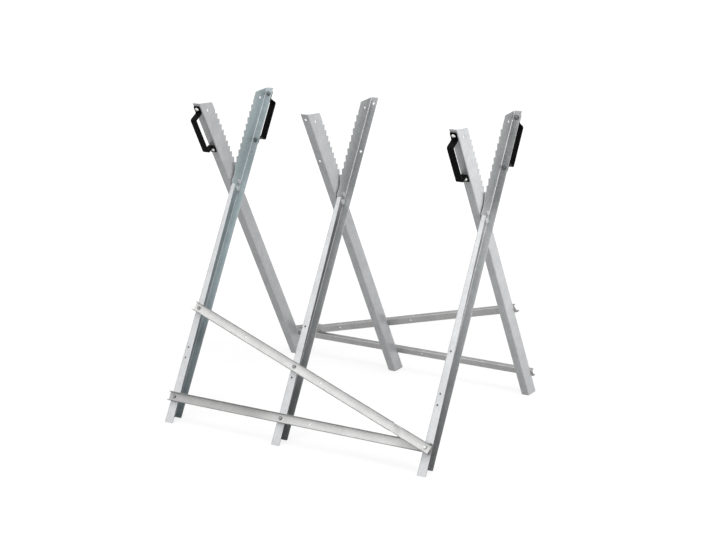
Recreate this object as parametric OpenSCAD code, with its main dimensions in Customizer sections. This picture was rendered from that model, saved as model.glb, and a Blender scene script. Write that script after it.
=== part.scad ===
// Folding sawhorse for logs, made of pressed sheet steel.
// Three X-shaped trestles stand in a row along X and are tied by bolted braces.
// Each trestle crosses a front leg and a rear leg, back to back, on a pivot bolt.
// All front legs and their braces swing as one frame against all rear legs.
// Units are millimetres. The floor is at Z = 0 and the front is at -Y.

/* [Trestles] */
// Leg length below the crossing, along the leg's centre line
leg_below = 659.5; // [600:0.5:700]
// Leg length above the crossing, up to the top of the outer flange
leg_above = 279.5; // [260:0.5:310]
// Lean of each leg from upright, in degrees
lean = 30; // [28:0.5:32]
// Distance from the left trestle to the middle one
short_bay = 326; // [260:1:380]
// Distance from the middle trestle to the right one
long_bay = 412; // [390:1:460]
// Angle that the frames turn from open to folded, in degrees
fold_angle = 52; // [46:1:52]

/* [Pressed legs] */
// Thickness of the leg's sheet
leg_sheet = 1.5; // [1.2:0.1:1.8]
// Width across the leg's channel
leg_w = 40; // [39:0.5:42]
// Width of the leg's outer flange, from the back of the web
flange_w = 21; // [20:0.5:26]
// Width of the tapering inner flange at its top end
inner_top_w = 12.5; // [10:0.5:14]
// Width of the tapering inner flange at the foot
inner_foot_w = 24.5; // [22:0.5:26]
// Radius of the flanges' corners at the foot
foot_corner_r = 3; // [2:0.5:4]
// Inside radius of the bends in the legs and braces
bend_r = 1.5; // [1:0.1:1.6]
// Distance of the inner flange's top end below the crossing
inner_flange_drop = 12.5; // [11:0.5:14]
// Height of the relief cut above the inner flange
relief_h = 3; // [2:0.5:5]
// Slope of the top cut against a square cut, in degrees
top_cut = 34; // [28:1:38]
// Radius of the rounded corner at the top of the toothed edge
top_corner_r = 6; // [3:0.5:8]
// Radius of the hole in the web near the top
web_hole_r = 3.5; // [3:0.25:5]
// Distance of the web hole below the top of the outer flange
web_hole_drop = 38; // [32:1:44]
// Distance of the web hole from the outer flange's face
web_hole_in = 21; // [16:0.5:24]

/* [Teeth] */
// Reach of the tooth tips from the leg's centre line
tip_reach = 32; // [31:0.5:36]
// Depth of the teeth
tooth_depth = 8; // [5:0.5:10]
// Spacing of the teeth along the leg
tooth_pitch = 18.5; // [16:0.5:24]
// Length of the plain edge below the rounded corner
plain_len = 23.5; // [20:0.5:26]
// Reach of the plain edge above the teeth, from the leg's centre line
plain_reach = 28; // [26:0.5:30]

/* [Braces] */
// Height of the lowest brace holes up the leg from the floor
brace_low = 58; // [50:1:70]
// Height of the highest brace holes up the leg from the floor
brace_high = 299; // [260:1:340]
// Distance of the brace holes from the back of the leg's web
brace_hole_in = 9; // [8.8:0.1:10]
// Width of a brace
brace_w = 24; // [20:0.5:26]
// Depth of a brace's flanges, with the web
brace_d = 9; // [6:0.5:11]
// Thickness of the brace's sheet
brace_sheet = 1.5; // [1.2:0.1:1.8]
// Length of the step near the diagonals' lower ends
step_len = 30; // [20:1:50]
// Length of a brace beyond its end holes
brace_end = 14; // [11:0.5:18]

/* [Handles] */
// Width of the handle strap
strap_w = 18; // [15:0.5:18]
// Thickness of the handle strap
strap_t = 3; // [2:0.25:4]
// Inside radius of the strap's bends
strap_bend_r = 2.5; // [2:0.25:4]
// Length of the raised grip over its outer faces
grip_span = 110; // [95:1:120]
// Height of the grip's outer face over the flange
grip_rise = 32; // [28:1:40]
// Length of each screwed ear beyond the grip
ear_len = 21; // [19:0.5:26]
// Distance of the screws beyond the grip
screw_in = 12; // [11:0.5:13]
// Radius of the ears' corners
ear_corner = 3; // [1:0.5:4]
// Distance of the handle's middle below the top of the outer flange
handle_drop = 85; // [85:1:100]

/* [Fasteners] */
// Diameter of the pivot bolts
pivot_d = 8; // [7:0.5:8]
// Width across the flats of the pivot bolt heads and nuts
pivot_flats = 13; // [12:0.5:13.5]
// Radius of the pivot washers
pivot_washer_r = 7; // [6.5:0.1:7]
// Distance of the pivot from the leg's centre line, towards the outer flange
pivot_offset = 10; // [9:0.25:10]
// Diameter of the stop bolts
stop_d = 6; // [5:0.5:6]
// Distance of the stop bolt from the pivot
stop_arm = 20; // [19:0.25:21]
// Turn of the stop bolt from the leg's axis seen from the pivot, in degrees
stop_turn = 8; // [6:1:10]
// Thickness of the spacer washers between the two webs
spacer_t = 3.9; // [2:0.1:4.5]
// Thickness of the flat washers
washer_t = 1.2; // [1:0.1:1.6]
// Radius of the stop bolts' washers
stop_washer_r = 6; // [5.5:0.1:6.5]
// Diameter of the brace bolts
brace_bolt_d = 5; // [4.5:0.5:6]
// Width across the flats of the brace bolt heads and nuts
brace_flats = 8; // [8:0.5:10]
// Height of the brace bolts' heads
brace_head_h = 3.5; // [3:0.1:4.5]
// Height of the brace bolts' nuts
brace_nut_h = 4; // [3.5:0.25:5]
// Diameter of the handle screws
handle_screw_d = 6; // [5:0.5:6]
// Width across the flats of the stop bolt heads, their nuts and the handle nuts
small_flats = 10; // [9:0.5:10]
// Diameter of the round handle screw heads
screw_head_d = 11; // [10:0.5:12]
// Height of the round handle screw heads
screw_head_h = 3.2; // [2.5:0.1:4]
// Height of the pivot bolts' heads
pivot_head_h = 5; // [4.5:0.1:6]
// Height of the pivot lock nuts' hexagon
pivot_nut_h = 6; // [5:0.25:7]
// Height of the stop bolts' heads
bolt_head_h = 4; // [3.5:0.1:5]
// Height of the stop bolts' nuts and the handle nuts
nut_h = 5; // [4:0.25:6]
// Length of a bolt's tip beyond its nut
bolt_tip = 2; // [1:0.5:3]

/* [Hidden] */
$fn = 48;

// Clearances of the fits
running_gap = 0.1;      // between faces that slide on each other
pivot_clear = 0.08;     // around the pivot bolts
slot_clear = 0.3;       // around the stop bolts in their slots
hole_clear = 0.25;      // around bolts and screws in plain holes
thread_clear = 0.05;    // between a bolt and its nut
seat_gap = 0.05;        // where a diagonal lies on the lower brace

// Places of the trestles and of the crossing
x_left = -(short_bay + long_bay) / 2;
x_middle = x_left + short_bay;
x_right = (short_bay + long_bay) / 2;
trestles = [x_left, x_middle, x_right];
outer_trestles = [x_left, x_right];
cross_z = leg_below * cos(lean);
web_gap = spacer_t + running_gap;

// Pivot and stop in leg coordinates: across the leg, along the leg
pivot_along = -pivot_offset / tan(lean);
stop_across = pivot_offset - stop_arm * sin(stop_turn);
stop_along = pivot_along + stop_arm * cos(stop_turn);
open_turn = 2 * lean;
stop_rear_open = open_turn - stop_turn;
stop_rear_folded = stop_rear_open - fold_angle;

// Height of the top cut at a place across the leg
function top_at(across) = leg_above - (leg_w / 2 - across) * tan(top_cut);

// Centre of the rounded top corner
corner_across = top_corner_r - plain_reach;
corner_along = top_at(corner_across) - top_corner_r / cos(top_cut);

// Toothed edge
root_reach = tip_reach - tooth_depth;
tread_rise = tooth_depth * tan(lean);
slant_len = 8;          // length of the slanting edges above and below the teeth
first_tip = corner_along - plain_len - slant_len - tread_rise;
valley = root_reach / tan(lean);
tooth_count = round((first_tip - valley) / tooth_pitch) + 1;
last_tip = first_tip - (tooth_count - 1) * tooth_pitch;
neck_step = 1;          // how far the neck below the teeth stands out from the channel
neck_reach = leg_w / 2 + neck_step;
neck_top = last_tip - tooth_pitch + tread_rise - slant_len;
plate_inset = 8;        // how far the toothed plate laps into the channel's web
plate_bottom = relief_h - inner_flange_drop;

// Raw channel, before its inner flange is tapered and its ends are cut
overcut = 60;           // length that the end cuts take off the raw channel
cut_margin = 1;         // how far a cut starts before the wall that it goes through
taper = (inner_foot_w - inner_top_w) / (leg_below - inner_flange_drop);
raw_end = -leg_below - overcut;
raw_w = inner_foot_w + taper * overcut;

// Lowest points of the two flanges at the foot, from the end of the leg's centre line
outer_foot_rise = (leg_w / 2 - leg_sheet) * tan(lean);
inner_foot_rise = -leg_w / 2 * tan(lean);
inner_corner_w = inner_foot_w - taper * (inner_foot_rise + foot_corner_r);

// Brace holes, as heights along the leg from the crossing
hole_rise = brace_high - brace_low;
bay_share = long_bay / (short_bay + long_bay);
hole_1 = brace_high - leg_below;
hole_2 = brace_low + hole_rise * bay_share - leg_below;
hole_3 = brace_low + hole_rise * (1 - bay_share) - leg_below;
hole_4 = brace_low - leg_below;
brace_hole_x = web_gap / 2 + brace_hole_in;
brace_len = short_bay + long_bay;
slope = atan(hole_rise / brace_len);
diagonal_len = brace_len / cos(slope);
overlap_len = brace_w / 2 * (1 + cos(slope)) / sin(slope);
diagonal_lift = brace_d + seat_gap;
step_end = diagonal_len - overlap_len;
step_start = step_end - step_len;

// Handles and their screw holes
strap_x = web_gap / 2 + flange_w - strap_w / 2;
handle_at = leg_above - handle_drop;
screw_reach = grip_span / 2 + screw_in;

// Sets what follows in a front leg's own directions: X right, Y across, Z up the leg
module on_front(x) {
    translate([x, 0, cross_z])
        rotate([-lean, 0, 0])
            children();
}

// Same for a rear leg, which is a front leg turned half round
module on_rear(x) {
    rotate([0, 0, 180])
        on_front(-x)
            children();
}

// Flat outline with two rounded corners at x = 0
module tray_outline(length, width, r) {
    translate([r, -width / 2])
        square([length - r, width]);
    translate([0, r - width / 2])
        square([length, width - 2 * r]);
    for (side = [-1, 1])
        translate([r, side * (width / 2 - r)])
            circle(r);
}

// Section of a bent channel, open towards +X
module channel_section(depth, width, sheet) {
    difference() {
        tray_outline(depth, width, bend_r + sheet);
        translate([sheet, 0])
            tray_outline(depth, width - 2 * sheet, bend_r);
    }
}

// Quarter of a ring in the corner towards +X and +Y
module quarter_ring(r_in, r_out) {
    intersection() {
        difference() {
            circle(r_out);
            circle(r_in);
        }
        square(r_out);
    }
}

// Rounded top corner of the toothed edge
corner_points = [
    for (step = [0:6])
        let (a = 90 + top_cut + (90 - top_cut) * step / 6)
            [corner_across + top_corner_r * cos(a), corner_along + top_corner_r * sin(a)]
];

// Teeth from the top down, with treads that are level when the sawhorse stands open
tooth_points = [
    for (i = [0:tooth_count - 1])
        let (tip = first_tip - i * tooth_pitch)
            each [[-root_reach, tip + tread_rise], [-tip_reach, tip]]
];

// Flat plate that widens the web above the crossing and carries the teeth
module toothed_plate() {
    inset = plate_inset - leg_w / 2;
    outline = concat(
        [[inset, plate_bottom], [inset, top_at(inset)]],
        corner_points,
        [[-plain_reach, first_tip + tread_rise + slant_len]],
        tooth_points,
        [[-root_reach, neck_top + slant_len], [-neck_reach, neck_top], [-neck_reach, plate_bottom]]
    );
    rotate([90, 0, 90])
        linear_extrude(leg_sheet)
            polygon(outline);
}

// Round hole across the leg, through a flange
module flange_hole(x, y, z, r) {
    translate([x, y, z])
        rotate([90, 0, 0])
            cylinder(h = 4 * leg_sheet, r = r, center = true);
}

// Round hole through the web
module web_hole(y, z, r) {
    translate([0, y, z])
        rotate([0, 90, 0])
            cylinder(h = 4 * leg_sheet, r = r, center = true);
}

// Curved slot that the stop bolt rides in, seen along the web's normal
module stop_slot() {
    half = stop_d / 2 + slot_clear;
    far = 3 * stop_arm;
    translate([-leg_sheet, pivot_offset, pivot_along])
        rotate([90, 0, 90])
            linear_extrude(4 * leg_sheet) {
                intersection() {
                    difference() {
                        circle(stop_arm + half);
                        circle(stop_arm - half);
                    }
                    polygon([
                        [0, 0],
                        [-far * sin(stop_rear_folded), far * cos(stop_rear_folded)],
                        [-far * sin(stop_rear_open), far * cos(stop_rear_open)]
                    ]);
                }
                for (turn = [stop_rear_folded, stop_rear_open])
                    translate([-stop_arm * sin(turn), stop_arm * cos(turn)])
                        circle(half);
            }
}

// Cuts the inner flange to its taper
module inner_taper_cut() {
    rotate([90, 0, 0])
        linear_extrude(leg_w)
            polygon([
                [inner_top_w, -inner_flange_drop], [raw_w + cut_margin, -inner_flange_drop],
                [raw_w + cut_margin, raw_end], [raw_w, raw_end]
            ]);
}

// Rounds the corner of one flange at the foot
module foot_corner_cut(corner_w, corner_rise, side) {
    size = foot_corner_r + cut_margin;
    translate([corner_w - foot_corner_r, side * leg_w / 2, corner_rise - leg_below + foot_corner_r])
        rotate([90, 0, 0])
            linear_extrude(leg_w, center = true)
                difference() {
                    translate([0, -size])
                        square(size);
                    circle(foot_corner_r);
                }
}

// One pressed leg in its own directions, with the back of its web at x = 0
module leg_pressing(slotted) {
    cut_w = raw_w + 2 * cut_margin;
    difference() {
        union() {
            difference() {
                translate([0, 0, raw_end])
                    linear_extrude(leg_below + leg_above + 2 * overcut)
                        channel_section(raw_w, leg_w, leg_sheet);
                // edge of the outer flange
                translate([flange_w, 0, raw_end - cut_margin])
                    cube([raw_w, leg_w, leg_below + leg_above + 3 * overcut]);
                inner_taper_cut();
                // inner flange ends below the crossing
                translate([-cut_margin, -leg_w, -inner_flange_drop])
                    cube([cut_w, leg_w / 2 + bend_r + leg_sheet, leg_above + 2 * overcut]);
            }
            toothed_plate();
        }
        foot_corner_cut(flange_w, outer_foot_rise, 1);
        foot_corner_cut(inner_corner_w, inner_foot_rise, -1);
        // level cut of the foot
        rotate([lean, 0, 0])
            translate([-cut_margin, -leg_below, -cross_z - 2 * leg_below])
                cube([cut_w, 2 * leg_below, 2 * leg_below]);
        // sloping cut of the top
        translate([-cut_margin, leg_w / 2, leg_above])
            rotate([top_cut, 0, 0])
                translate([0, -4 * leg_w, 0])
                    cube([cut_w, 8 * leg_w, 4 * overcut]);
        // brace holes in the inner flange
        for (along = [hole_1, hole_2, hole_3, hole_4])
            flange_hole(brace_hole_in, -leg_w / 2, along, brace_bolt_d / 2 + hole_clear);
        // handle holes in the outer flange
        for (side = [-1, 1])
            flange_hole(flange_w - strap_w / 2, leg_w / 2, handle_at + side * screw_reach,
                handle_screw_d / 2 + hole_clear);
        web_hole(leg_w / 2 - web_hole_in, leg_above - web_hole_drop, web_hole_r);
        web_hole(pivot_offset, pivot_along, pivot_d / 2 + pivot_clear);
        if (slotted)
            stop_slot();
        else
            web_hole(stop_across, stop_along, stop_d / 2 + hole_clear);
    }
}

module front_leg(x) {
    color("gainsboro")
        on_front(x)
            translate([web_gap / 2, 0, 0])
                leg_pressing(false);
}

module rear_leg(x) {
    color("gainsboro")
        on_rear(x)
            translate([web_gap / 2, 0, 0])
                leg_pressing(true);
}

// Straight run of brace channel along +X, with its back on y = 0 and its flanges towards -Y
module brace_run(from, to) {
    translate([from, 0, 0])
        rotate([90, 0, 90])
            linear_extrude(to - from)
                mirror([1, 0])
                    channel_section(brace_d, brace_w, brace_sheet);
}

// Hole through a brace's web, deep enough for the stepped end
module brace_hole(x) {
    translate([x, brace_d, 0])
        rotate([90, 0, 0])
            cylinder(h = 4 * brace_d, r = brace_bolt_d / 2 + hole_clear);
}

// Lower brace from its first bolt, with a middle hole for each place of the middle trestle
module lower_brace() {
    difference() {
        brace_run(-brace_end, brace_len + brace_end);
        for (x = [0, short_bay, long_bay, brace_len])
            brace_hole(x);
    }
}

// Step between two parallel runs of brace, falling by the lift towards -Y
module brace_step(from, to, lift) {
    difference() {
        translate([0, 0, -brace_w / 2])
            linear_extrude(brace_w)
                polygon([[from, 0], [to, -lift], [to, -lift - brace_d], [from, -brace_d]]);
        translate([0, 0, brace_sheet - brace_w / 2])
            linear_extrude(brace_w - 2 * brace_sheet)
                polygon([
                    [from, -brace_sheet], [to, -lift - brace_sheet],
                    [to, -lift - 2 * brace_d], [from, -2 * brace_d]
                ]);
    }
}

// Diagonal brace, falling along +X, with a stepped end that lies over the lower brace
module diagonal_brace(extra_hole) {
    difference() {
        union() {
            brace_run(-brace_end, step_start);
            brace_step(step_start, step_end, diagonal_lift);
            translate([0, -diagonal_lift, 0])
                brace_run(step_end, diagonal_len + brace_end);
        }
        for (x = [0, short_bay, long_bay, brace_len, extra_hole])
            brace_hole(x / cos(slope));
    }
}

// Places the braces of one side, seen with that side in front
module on_brace_face(first_x, along) {
    on_front(0)
        translate([first_x + brace_hole_x, -leg_w / 2, along])
            children();
}

// Hexagon with chamfered corners around the face at the far end
module hexagon(flats, h) {
    corner = flats / sqrt(3);
    rotate([0, 0, 30])
        intersection() {
            cylinder(h = h, r = corner, $fn = 6);
            union() {
                cylinder(h = h - flats / 16, r = corner + cut_margin);
                translate([0, 0, h - flats / 16])
                    cylinder(h = flats / 16, r1 = corner, r2 = flats / 2);
            }
        }
}

// Hexagon bolt along -Z from its head's seat at z = 0
module hex_bolt(d, flats, head_h, length) {
    hexagon(flats, head_h);
    translate([0, 0, -length])
        cylinder(h = length, r = d / 2);
}

// Plain nut that stands on z = 0
module hex_nut(d, flats, h) {
    difference() {
        hexagon(flats, h);
        translate([0, 0, -cut_margin])
            cylinder(h = h + 2 * cut_margin, r = d / 2 + thread_clear);
    }
}

// Lock nut: a hexagon with a round collar
module lock_nut(d, flats, h) {
    difference() {
        union() {
            hexagon(flats, h);
            cylinder(h = h + lock_collar, r = flats / 2 - lock_step);
        }
        translate([0, 0, -cut_margin])
            cylinder(h = 2 * h, r = d / 2 + thread_clear);
    }
}

// Flat washer that stands on z = 0
module washer(d, r, h, clear) {
    difference() {
        cylinder(h = h, r = r);
        translate([0, 0, -cut_margin])
            cylinder(h = h + 2 * cut_margin, r = d / 2 + clear);
    }
}

// Brace bolts of one side: plain ones, and a long one where both braces share a bolt
module brace_bolts(middle_x, middle_hole) {
    grip = brace_sheet + leg_sheet + brace_nut_h + bolt_tip;
    places = [[x_left, hole_1], [middle_x, middle_hole], [x_left, hole_4], [middle_x, hole_4]];
    for (place = places)
        on_brace_face(place[0], place[1])
            translate([0, -brace_sheet, 0])
                rotate([90, 0, 0])
                    hex_bolt(brace_bolt_d, brace_flats, brace_head_h, grip);
    on_brace_face(x_right, hole_4)
        translate([0, -diagonal_lift - brace_sheet, 0])
            rotate([90, 0, 0])
                hex_bolt(brace_bolt_d, brace_flats, brace_head_h, diagonal_lift + grip);
}

// Nuts of one side's brace bolts, inside the legs' channels
module brace_nuts(middle_x, middle_hole) {
    places = [
        [x_left, hole_1], [middle_x, middle_hole],
        [x_left, hole_4], [middle_x, hole_4], [x_right, hole_4]
    ];
    for (place = places)
        on_brace_face(place[0], place[1])
            translate([0, leg_sheet, 0])
                rotate([-90, 0, 0])
                    hex_nut(brace_bolt_d, brace_flats, brace_nut_h);
}

// Bent strap handle: outline of its edge, with the ears on y = 0
module strap_outline() {
    half = grip_span / 2;
    r_out = strap_bend_r + strap_t;
    translate([-half + r_out, grip_rise - strap_t])
        square([grip_span - 2 * r_out, strap_t]);
    for (side = [0, 1])
        mirror([side, 0]) {
            translate([half - r_out, grip_rise - r_out])
                quarter_ring(strap_bend_r, r_out);
            translate([half - strap_t, strap_t + strap_bend_r])
                square([strap_t, grip_rise - r_out - strap_t - strap_bend_r]);
            translate([half + strap_bend_r, strap_t + strap_bend_r])
                rotate([0, 0, 180])
                    quarter_ring(strap_bend_r, r_out);
            translate([half + strap_bend_r, 0])
                square([ear_len - strap_bend_r, strap_t]);
        }
}

// What an ear's rounded corner leaves of a square one, with the corner at the origin
module ear_corner_cut() {
    side = ear_corner + cut_margin;
    translate([-ear_corner, -cut_margin, -ear_corner])
        difference() {
            cube([side, strap_t + 2 * cut_margin, side]);
            translate([0, -cut_margin, 0])
                rotate([-90, 0, 0])
                    cylinder(h = strap_t + 4 * cut_margin, r = ear_corner);
        }
}

// Handle in leg directions, on the outer flange
module handle() {
    difference() {
        translate([strap_w / 2, leg_w / 2, 0])
            rotate([0, -90, 0])
                linear_extrude(strap_w)
                    strap_outline();
        for (side = [-1, 1])
            translate([0, leg_w / 2 - cut_margin, side * screw_reach])
                rotate([-90, 0, 0])
                    cylinder(h = strap_t + 2 * cut_margin, r = handle_screw_d / 2 + hole_clear);
        for (side = [0, 1], edge = [0, 1])
            mirror([0, 0, side])
                mirror([edge, 0, 0])
                    translate([strap_w / 2, leg_w / 2, grip_span / 2 + ear_len])
                        ear_corner_cut();
    }
}

// Sets what follows at the middle of a handle, on the leg's centre plane
module at_handle() {
    translate([strap_x, 0, handle_at])
        children();
}

// Round-headed screw along -Z from its head's seat at z = 0
module round_screw() {
    dome_r = (pow(screw_head_d / 2, 2) + pow(screw_head_h, 2)) / (2 * screw_head_h);
    intersection() {
        translate([0, 0, screw_head_h - dome_r])
            sphere(dome_r, $fn = 96);
        cylinder(h = screw_head_h, r = screw_head_d);
    }
    length = strap_t + leg_sheet + nut_h + bolt_tip;
    translate([0, 0, -length])
        cylinder(h = length, r = handle_screw_d / 2);
}

// The two screws of one handle
module handle_screws() {
    at_handle()
        for (side = [-1, 1])
            translate([0, leg_w / 2 + strap_t, side * screw_reach])
                rotate([-90, 0, 0])
                    round_screw();
}

// The two nuts of one handle
module handle_nuts() {
    at_handle()
        for (side = [-1, 1])
            translate([0, leg_w / 2 - leg_sheet, side * screw_reach])
                rotate([90, 0, 0])
                    hex_nut(handle_screw_d, small_flats, nut_h);
}

// Sets what follows on the pivot axis, with Z towards +X and z = 0 between the webs
module at_pivots() {
    for (x = trestles)
        on_front(x)
            translate([0, pivot_offset, pivot_along])
                rotate([0, 90, 0])
                    children();
}

// Sets what follows on the stop bolts' axis
module at_stops() {
    at_pivots()
        translate([-stop_arm * cos(stop_turn), -stop_arm * sin(stop_turn), 0])
            children();
}

// Faces of the stack along the pivot: head seat, rear web and nut seat
head_seat = web_gap / 2 + leg_sheet;
rear_web_out = -web_gap / 2 - leg_sheet;
washer_face = rear_web_out - running_gap;
nut_seat = washer_face - washer_t;
lock_collar = 1.5;      // height of a lock nut's collar over its hexagon
lock_step = 0.6;        // how far the collar stands in from the hexagon's flats
pivot_bolt_len = head_seat - nut_seat + pivot_nut_h + lock_collar + bolt_tip;
stop_bolt_len = head_seat - nut_seat + nut_h + bolt_tip;

module pivot_bolts() {
    color("silver")
        at_pivots()
            translate([0, 0, head_seat])
                hex_bolt(pivot_d, pivot_flats, pivot_head_h, pivot_bolt_len);
}

module pivot_spacers() {
    color("silver")
        at_pivots()
            translate([0, 0, web_gap / 2 - spacer_t])
                washer(pivot_d, pivot_washer_r, spacer_t, pivot_clear);
}

module pivot_washers() {
    color("silver")
        at_pivots()
            translate([0, 0, nut_seat])
                washer(pivot_d, pivot_washer_r, washer_t, pivot_clear);
}

module pivot_lock_nuts() {
    color("silver")
        at_pivots()
            translate([0, 0, nut_seat])
                mirror([0, 0, 1])
                    lock_nut(pivot_d, pivot_flats, pivot_nut_h);
}

module stop_bolts() {
    color("silver")
        at_stops()
            translate([0, 0, head_seat])
                hex_bolt(stop_d, small_flats, bolt_head_h, stop_bolt_len);
}

module stop_washers() {
    color("silver")
        at_stops()
            translate([0, 0, nut_seat])
                washer(stop_d, stop_washer_r, washer_t, hole_clear);
}

module stop_nuts() {
    color("silver")
        at_stops()
            translate([0, 0, nut_seat])
                mirror([0, 0, 1])
                    hex_nut(stop_d, small_flats, nut_h);
}

module front_left_leg() { front_leg(x_left); }
module front_middle_leg() { front_leg(x_middle); }
module front_right_leg() { front_leg(x_right); }
module rear_left_leg() { rear_leg(x_left); }
module rear_middle_leg() { rear_leg(x_middle); }
module rear_right_leg() { rear_leg(x_right); }

module front_lower_brace() {
    color("lightgray")
        on_brace_face(x_left, hole_4)
            lower_brace();
}

module front_diagonal_brace() {
    color("lightgray")
        on_brace_face(x_left, hole_1)
            rotate([0, slope, 0])
                diagonal_brace(short_bay / 2);
}

module rear_lower_brace() {
    color("lightgray")
        rotate([0, 0, 180])
            on_brace_face(x_left, hole_4)
                lower_brace();
}

module rear_diagonal_brace() {
    color("lightgray")
        rotate([0, 0, 180])
            on_brace_face(x_left, hole_1)
                rotate([0, slope, 0])
                    diagonal_brace(brace_len - short_bay / 2);
}

module front_brace_bolts() {
    color("darkgray")
        brace_bolts(x_middle, hole_2);
}

module front_brace_nuts() {
    color("darkgray")
        brace_nuts(x_middle, hole_2);
}

module rear_brace_bolts() {
    color("darkgray")
        rotate([0, 0, 180])
            brace_bolts(-x_middle, hole_3);
}

module rear_brace_nuts() {
    color("darkgray")
        rotate([0, 0, 180])
            brace_nuts(-x_middle, hole_3);
}

module rear_handle(x) {
    color("black")
        on_front(x)
            at_handle()
                handle();
}

module front_handle(x) {
    color("black")
        on_rear(x)
            at_handle()
                handle();
}

module rear_left_handle() { rear_handle(x_left); }
module rear_right_handle() { rear_handle(x_right); }
module front_left_handle() { front_handle(x_left); }
module front_right_handle() { front_handle(x_right); }

module rear_handle_screws() {
    color("silver")
        for (x = outer_trestles)
            on_front(x)
                handle_screws();
}

module rear_handle_nuts() {
    color("silver")
        for (x = outer_trestles)
            on_front(x)
                handle_nuts();
}

module front_handle_screws() {
    color("silver")
        for (x = outer_trestles)
            on_rear(x)
                handle_screws();
}

module front_handle_nuts() {
    color("silver")
        for (x = outer_trestles)
            on_rear(x)
                handle_nuts();
}

front_left_leg();
front_middle_leg();
front_right_leg();
front_lower_brace();
front_diagonal_brace();
front_brace_bolts();
front_brace_nuts();
pivot_bolts();
pivot_spacers();
pivot_washers();
pivot_lock_nuts();
stop_bolts();
stop_washers();
stop_nuts();
rear_left_handle();
rear_right_handle();
rear_handle_screws();
rear_handle_nuts();
rear_left_leg();
rear_middle_leg();
rear_right_leg();
rear_lower_brace();
rear_diagonal_brace();
rear_brace_bolts();
rear_brace_nuts();
front_left_handle();
front_right_handle();
front_handle_screws();
front_handle_nuts();
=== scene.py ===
"""Looks of a folding sawhorse: pressed zinc-coated legs, bolted braces and black strap handles.

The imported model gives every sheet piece. This script softens their edges, gives them their
finishes, and makes the bolts, nuts and screws with their threads, sockets and chamfers.
All sizes are in metres and all turns in degrees. The floor is at Z = 0 and the front is at -Y.
"""

import logging
import math
from dataclasses import dataclass, replace
from enum import Enum, IntEnum
from functools import cache
from itertools import product
from typing import ClassVar, Iterable, Iterator

import bpy
from mathutils import Matrix, Vector


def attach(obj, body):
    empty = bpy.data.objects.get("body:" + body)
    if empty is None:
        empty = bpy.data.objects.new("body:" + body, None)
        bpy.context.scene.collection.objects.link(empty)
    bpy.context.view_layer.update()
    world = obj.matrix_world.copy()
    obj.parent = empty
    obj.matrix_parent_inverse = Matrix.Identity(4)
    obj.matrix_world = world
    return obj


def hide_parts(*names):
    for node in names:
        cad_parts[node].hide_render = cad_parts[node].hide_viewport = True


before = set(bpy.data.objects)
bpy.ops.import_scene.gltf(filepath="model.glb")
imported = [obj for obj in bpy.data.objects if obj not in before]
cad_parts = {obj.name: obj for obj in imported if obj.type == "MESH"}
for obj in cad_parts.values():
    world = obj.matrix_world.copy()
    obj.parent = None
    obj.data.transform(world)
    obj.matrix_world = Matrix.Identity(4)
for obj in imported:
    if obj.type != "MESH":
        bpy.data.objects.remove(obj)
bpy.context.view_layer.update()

LOG = logging.getLogger("sawhorse")
HALF_TURN = math.pi
QUARTER_TURN = math.pi / 2
WHITE = (1.0, 1.0, 1.0, 1.0)
BLACK = (0.0, 0.0, 0.0)

Triple = tuple[float, float, float]
RGB = Triple
Span = tuple[float, float]
Rings = list[tuple[float, float]]
Piece = bpy.types.Object
Socket = bpy.types.NodeSocket


class Side(Enum):
    """Side of the sawhorse on which a leg's foot stands."""

    FRONT = "front"
    REAR = "rear"

    @property
    def body(self) -> str:
        """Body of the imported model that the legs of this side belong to."""
        return f"{self.value}_frame"

    @property
    def opposite(self) -> "Side":
        """The other side."""
        return Side.REAR if self is Side.FRONT else Side.FRONT

    @property
    def sign(self) -> int:
        """1 for the front and -1 for the rear."""
        return 1 if self is Side.FRONT else -1

    @property
    def turn(self) -> Matrix:
        """Turn about Z that brings what lies in front to this side."""
        return Matrix.Rotation(HALF_TURN, 4, "Z") if self is Side.REAR else Matrix.Identity(4)


class Place(Enum):
    """Place of a trestle in the row."""

    LEFT = "left"
    MIDDLE = "middle"
    RIGHT = "right"


class Brace(Enum):
    """Kind of brace on each side."""

    LOWER = "lower"
    DIAGONAL = "diagonal"


class Cut(Enum):
    """What a boolean keeps of a piece."""

    AWAY = "DIFFERENCE"
    SHARED = "INTERSECT"
    BOTH = "UNION"


class Grain(Enum):
    """Way in which the mill's fine lines run, with the share of the legs' lean that turns them."""

    FRONT_LEG = 1
    REAR_LEG = -1
    ALONG_X = 0


# ---- Places on the trestles ----


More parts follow.
